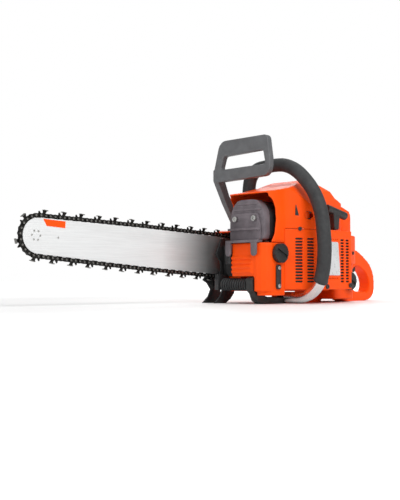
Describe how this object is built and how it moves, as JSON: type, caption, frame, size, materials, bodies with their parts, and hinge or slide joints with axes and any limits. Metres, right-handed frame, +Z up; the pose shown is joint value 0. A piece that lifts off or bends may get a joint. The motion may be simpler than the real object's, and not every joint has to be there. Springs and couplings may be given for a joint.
{
  "type": "chainsaw",
  "caption": "Petrol forestry chainsaw with guide bar and chain, wrap-around front handle, hinged hand guard, starter, filler caps and rear handle with trigger.",
  "frame": {"origin": "on the ground, in the flat underside of the rear handle's runner below the crankshaft", "axes": "+X from the bar nose to the rear handle, +Y to the bar and clutch side, +Z up"},
  "size_m": [0.803, 0.2382, 0.298],
  "materials": {
    "orange_shell": "orange painted and moulded shells, satin gloss",
    "black_plastic": "black glass-filled nylon, fine moulded grain",
    "rubber": "matt black rubber",
    "guard_grey": "dark grey moulded nylon",
    "steel": "bright zinc plated and ground steel",
    "dark_steel": "oiled dark chain steel",
    "aluminium": "bare cast and drawn aluminium",
    "hot_steel": "heat stained sheet steel",
    "bar_steel": "light grey painted laminated steel",
    "label": "silver foil plate without text",
    "felt": "pleated filter felt",
    "cord": "braided nylon starter rope",
    "black_steel": "black painted steel plate"
  },
  "bodies": {
    "engine": {"crankcase": "orange_shell", "piston": "aluminium", "connecting_rod": "steel", "cylinder": "aluminium", "spark_plug": "steel", "ignition_coil": "black_plastic", "intake_boot": "rubber", "carburettor": "aluminium", "air_filter": "felt", "oil_pump": "dark_steel", "muffler_body": "black_steel", "muffler_shield": "hot_steel", "muffler_bolt_1": "steel", "muffler_bolt_2": "steel", "muffler_bracket": "black_steel", "brake_band": "steel", "guide_bar": "bar_steel", "saw_chain": "dark_steel", "bar_stud_1": "steel", "bar_stud_2": "steel", "bar_nut_1": "steel", "bar_nut_2": "steel", "inner_spike": "black_steel", "outer_spike": "black_steel", "chain_catcher": "aluminium", "clutch_cover": "orange_shell", "top_cover": "orange_shell", "air_filter_cover": "orange_shell", "starter_cover": "orange_shell", "label_plate": "label", "starter_cover_screw_1": "black_steel", "starter_cover_screw_2": "black_steel", "starter_rope": "cord", "guard_pivot_pin": "steel", "handle_bracket": "black_plastic", "front_handle_tube": "aluminium", "handle_grip": "rubber", "front_spring": "rubber", "spring_bracket": "black_plastic", "tank_and_rear_handle": "orange_shell", "rear_buffer_1": "rubber", "rear_buffer_2": "rubber", "side_strap": "rubber"},
    "crankshaft": {"crankshaft_flywheel_half": "steel", "crankshaft_clutch_half": "steel", "flywheel": "aluminium", "clutch_hub": "dark_steel"},
    "clutch_drum": {"clutch_drum": "steel"},
    "nose_sprocket": {"nose_sprocket": "steel"},
    "hand_guard": {"hand_guard": "guard_grey"},
    "starter_pulley": {"starter_pulley": "black_plastic"},
    "starter_grip": {"starter_grip": "black_plastic"},
    "throttle_trigger": {"throttle_trigger": "black_plastic"},
    "throttle_lockout": {"throttle_lockout": "black_plastic"},
    "stop_switch": {"stop_switch": "rubber"},
    "decompression_button": {"decompression_button": "orange_shell"},
    "oil_cap_thread": {"oil_cap_seal": "rubber"},
    "oil_cap": {"oil_cap": "black_plastic"},
    "fuel_cap_thread": {"fuel_cap_seal": "rubber"},
    "fuel_cap": {"fuel_cap": "black_plastic"}
  },
  "joints": [
    {"name": "crankshaft_turn", "type": "hinge", "parent": "engine", "child": "crankshaft", "pos_m": [-0.012, 0, 0.081], "axis": [0, 1, 0], "continuous": true},
    {"name": "clutch_drum_turn", "type": "hinge", "parent": "engine", "child": "clutch_drum", "pos_m": [-0.012, 0.06, 0.081], "axis": [0, 1, 0], "continuous": true},
    {"name": "nose_sprocket_turn", "type": "hinge", "parent": "engine", "child": "nose_sprocket", "pos_m": [-0.50427, 0.075, 0.10781], "axis": [0, 1, 0], "continuous": true},
    {"name": "hand_guard_brake", "type": "hinge", "parent": "engine", "child": "hand_guard", "pos_m": [-0.035, 0.09, 0.142], "axis": [0, -1, 0], "range_deg": [0, 16]},
    {"name": "starter_pull", "type": "slide", "parent": "engine", "child": "starter_grip", "axis": [0, 0, 1], "range_m": [0, 0.5], "stiffness_N_per_m": 4},
    {"name": "starter_pulley_turn", "type": "hinge", "parent": "engine", "child": "starter_pulley", "pos_m": [-0.012, -0.079, 0.081], "axis": [0, 1, 0], "range_deg": [0, 1530]},
    {"name": "throttle_trigger_pull", "type": "hinge", "parent": "engine", "child": "throttle_trigger", "pos_m": [0.196, 0, 0.084], "axis": [0, -1, 0], "range_deg": [0, 10], "stiffness_Nm_per_rad": 0.2},
    {"name": "throttle_lockout_press", "type": "hinge", "parent": "engine", "child": "throttle_lockout", "pos_m": [0.222, 0, 0.083], "axis": [0, 1, 0], "range_deg": [0, 7], "stiffness_Nm_per_rad": 0.2},
    {"name": "stop_switch_rock", "type": "hinge", "parent": "engine", "child": "stop_switch", "pos_m": [0.166, 0, 0.097], "axis": [0, 1, 0], "range_deg": [-14, 14]},
    {"name": "decompression_press", "type": "slide", "parent": "engine", "child": "decompression_button", "axis": [0, 1, 0], "range_m": [0, 0.004], "stiffness_N_per_m": 300},
    {"name": "oil_cap_rise", "type": "slide", "parent": "engine", "child": "oil_cap_thread", "axis": [0, -1, 0], "range_m": [0, 0.008]},
    {"name": "oil_cap_turn", "type": "hinge", "parent": "oil_cap_thread", "child": "oil_cap", "pos_m": [-0.1045, -0.06, 0.088], "axis": [0, -1, 0], "range_deg": [0, 720]},
    {"name": "fuel_cap_rise", "type": "slide", "parent": "engine", "child": "fuel_cap_thread", "axis": [0, -1, 0], "range_m": [0, 0.008]},
    {"name": "fuel_cap_turn", "type": "hinge", "parent": "fuel_cap_thread", "child": "fuel_cap", "pos_m": [0.108, -0.055, 0.04], "axis": [0, -1, 0], "range_deg": [0, 720]}
  ],
  "couplings": [
    {"joint": "starter_pulley_turn", "follows": "starter_pull", "rad_per_m": 52.632},
    {"joint": "oil_cap_turn", "follows": "oil_cap_rise", "rad_per_m": 1570.7},
    {"joint": "fuel_cap_turn", "follows": "fuel_cap_rise", "rad_per_m": 1570.7}
  ]
}
